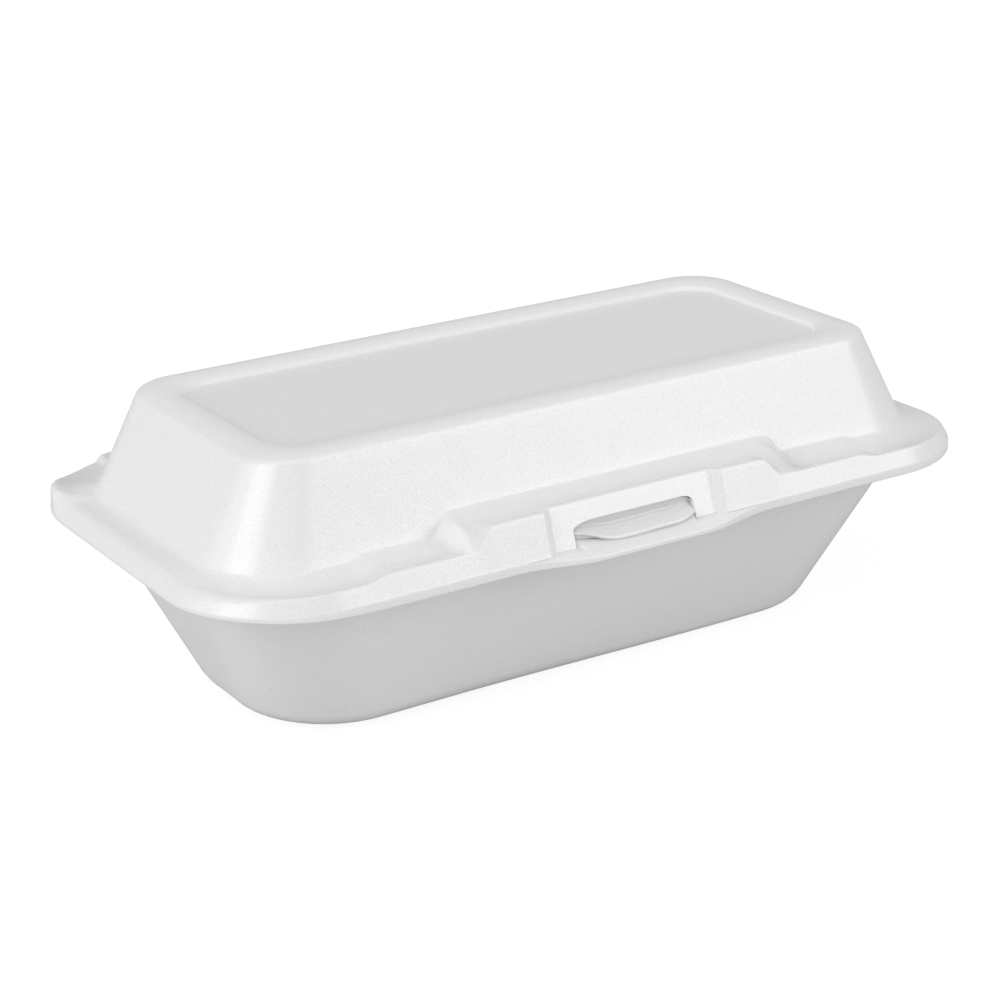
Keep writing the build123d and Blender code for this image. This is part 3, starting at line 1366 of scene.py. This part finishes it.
@dataclass(frozen=True)
class Lamp:
    """A broad sun.

    Its azimuth is in degrees from straight in front of the box, to the right, and its elevation in degrees
    above the floor. Width is the angle over which it spreads. Level is the brightness that it gives a white
    surface that faces it.
    """

    name: str
    azimuth: float
    elevation: float
    width: float
    level: float

    def build(self) -> bpy.types.Object:
        """The lamp, turned towards the box.

        Returns:
            The lamp, linked to the scene.
        """
        data = bpy.data.lights.new(self.name, "SUN")
        data.energy = self.level * math.pi
        data.angle = math.radians(self.width)
        lamp = bpy.data.objects.new(self.name, data)
        bpy.context.scene.collection.objects.link(lamp)
        az, el = math.radians(self.azimuth), math.radians(self.elevation)
        toward = Vector((math.sin(az) * math.cos(el), -math.cos(az) * math.cos(el), math.sin(el)))
        lamp.matrix_world = toward.to_track_quat("Z", "Y").to_matrix().to_4x4()
        return lamp


@dataclass
class Studio:
    """Floor, world, lamps and the camera at the photograph's viewing angle.

    The eye is in millimetres, the floor's half size and the camera's near limit are in metres.
    """

    azimuth: float = -32.07
    elevation: float = 20.31
    roll: float = -1.29
    eye: tuple[float, float, float] = (-352.52, -556.21, 283.21)
    focal: float = 87.98
    sensor: float = 36.0
    near_limit: float = 0.01
    floor_half: float = 4.0
    floor_gray: float = 0.655
    floor_glow: float = 0.74
    floor_white: float = 1.2
    sky: float = 0.51
    lamps: tuple[Lamp, ...] = (
        Lamp("left", -74.5, 27.0, 37.0, 0.295),
        Lamp("far_left", -106.0, 22.0, 40.0, 0.115),
        Lamp("right", 38.0, 20.7, 31.0, 0.25),
        Lamp("above", 0.0, 88.0, 90.0, 0.1),
    )

    def camera(self) -> bpy.types.Object:
        """The camera, turned by azimuth, elevation and roll.

        Returns:
            The camera object, set as the scene's camera.
        """
        az, el, ro = (math.radians(v) for v in (self.azimuth, self.elevation, self.roll))
        ahead = -np.array([math.sin(az) * math.cos(el), -math.cos(az) * math.cos(el), math.sin(el)])
        right = np.cross(ahead, [0.0, 0.0, 1.0])
        right /= np.linalg.norm(right)
        up = np.cross(right, ahead)
        across = math.cos(ro) * right + math.sin(ro) * up
        above = -math.sin(ro) * right + math.cos(ro) * up
        turn = np.eye(4)
        turn[:3, :3] = np.stack([across, above, -ahead], axis=1)
        turn[:3, 3] = np.array(self.eye) * MM
        data = bpy.data.cameras.new("camera")
        data.lens = self.focal
        data.sensor_width = self.sensor
        data.clip_start = self.near_limit
        camera = bpy.data.objects.new("camera", data)
        bpy.context.scene.collection.objects.link(camera)
        camera.matrix_world = Matrix(turn.tolist())
        bpy.context.scene.camera = camera
        return camera

    def floor(self) -> bpy.types.Object:
        """A white floor under the box, which keeps its shadow.

        Returns:
            The floor, marked as stage.
        """
        h = self.floor_half
        mesh = bpy.data.meshes.new("floor")
        mesh.from_pydata([(-h, -h, 0), (h, -h, 0), (h, h, 0), (-h, h, 0)], [], [(0, 1, 2, 3)])
        floor = bpy.data.objects.new("floor", mesh)
        bpy.context.scene.collection.objects.link(floor)
        made = bpy.data.materials.new("floor_white")
        made.use_nodes = True
        tree = made.node_tree
        tree.nodes.clear()
        out = tree.nodes.new("ShaderNodeOutputMaterial")
        paper = tree.nodes.new("ShaderNodeBsdfDiffuse")
        paper.inputs["Color"].default_value = (self.floor_gray, self.floor_gray, self.floor_gray, 1.0)
        glow = tree.nodes.new("ShaderNodeEmission")
        glow.inputs["Strength"].default_value = self.floor_white
        seen = tree.nodes.new("ShaderNodeMixShader")
        rays = tree.nodes.new("ShaderNodeLightPath")
        share = tree.nodes.new("ShaderNodeMath")
        share.operation = "MULTIPLY"
        share.inputs[1].default_value = self.floor_glow
        tree.links.new(rays.outputs["Is Camera Ray"], share.inputs[0])
        tree.links.new(share.outputs["Value"], seen.inputs["Fac"])
        tree.links.new(paper.outputs["BSDF"], seen.inputs[1])
        tree.links.new(glow.outputs["Emission"], seen.inputs[2])
        tree.links.new(seen.outputs["Shader"], out.inputs["Surface"])
        mesh.materials.append(made)
        return floor

    def light(self) -> None:
        """Soft light all round, broad lamps from the left and the front right, and a weak one above."""
        world = bpy.data.worlds.new("studio")
        bpy.context.scene.world = world
        world.use_nodes = True
        tree = world.node_tree
        sky = tree.nodes["Background"]
        sky.inputs["Color"].default_value = (1.0, 1.0, 1.0, 1.0)
        rays = tree.nodes.new("ShaderNodeLightPath")
        level = tree.nodes.new("ShaderNodeMapRange")
        level.inputs["To Min"].default_value = self.sky
        level.inputs["To Max"].default_value = 1.0
        tree.links.new(rays.outputs["Is Camera Ray"], level.inputs["Value"])
        tree.links.new(level.outputs["Result"], sky.inputs["Strength"])
        for lamp in self.lamps:
            lamp.build()


def main() -> None:
    """Builds the lid, the tray and the fold between them, then the studio."""
    logging.basicConfig(level=logging.INFO, format="%(name)s: %(message)s")
    rim = Rim()
    columns = Columns.around(long_side_stations(rim.outline.half_length - rim.corner), ends=15)
    lid = Lid(rim)
    lid.dress(lid.build(columns))
    tray = Tray(rim)
    tray.dress(tray.build(columns, lid))
    fold = LivingHinge(rim)
    fold.dress(fold.build())
    studio = Studio()
    studio.floor()
    studio.light()
    studio.camera()
    bpy.context.scene.view_settings.view_transform = "Standard"


if __name__ == "__main__":
    main()
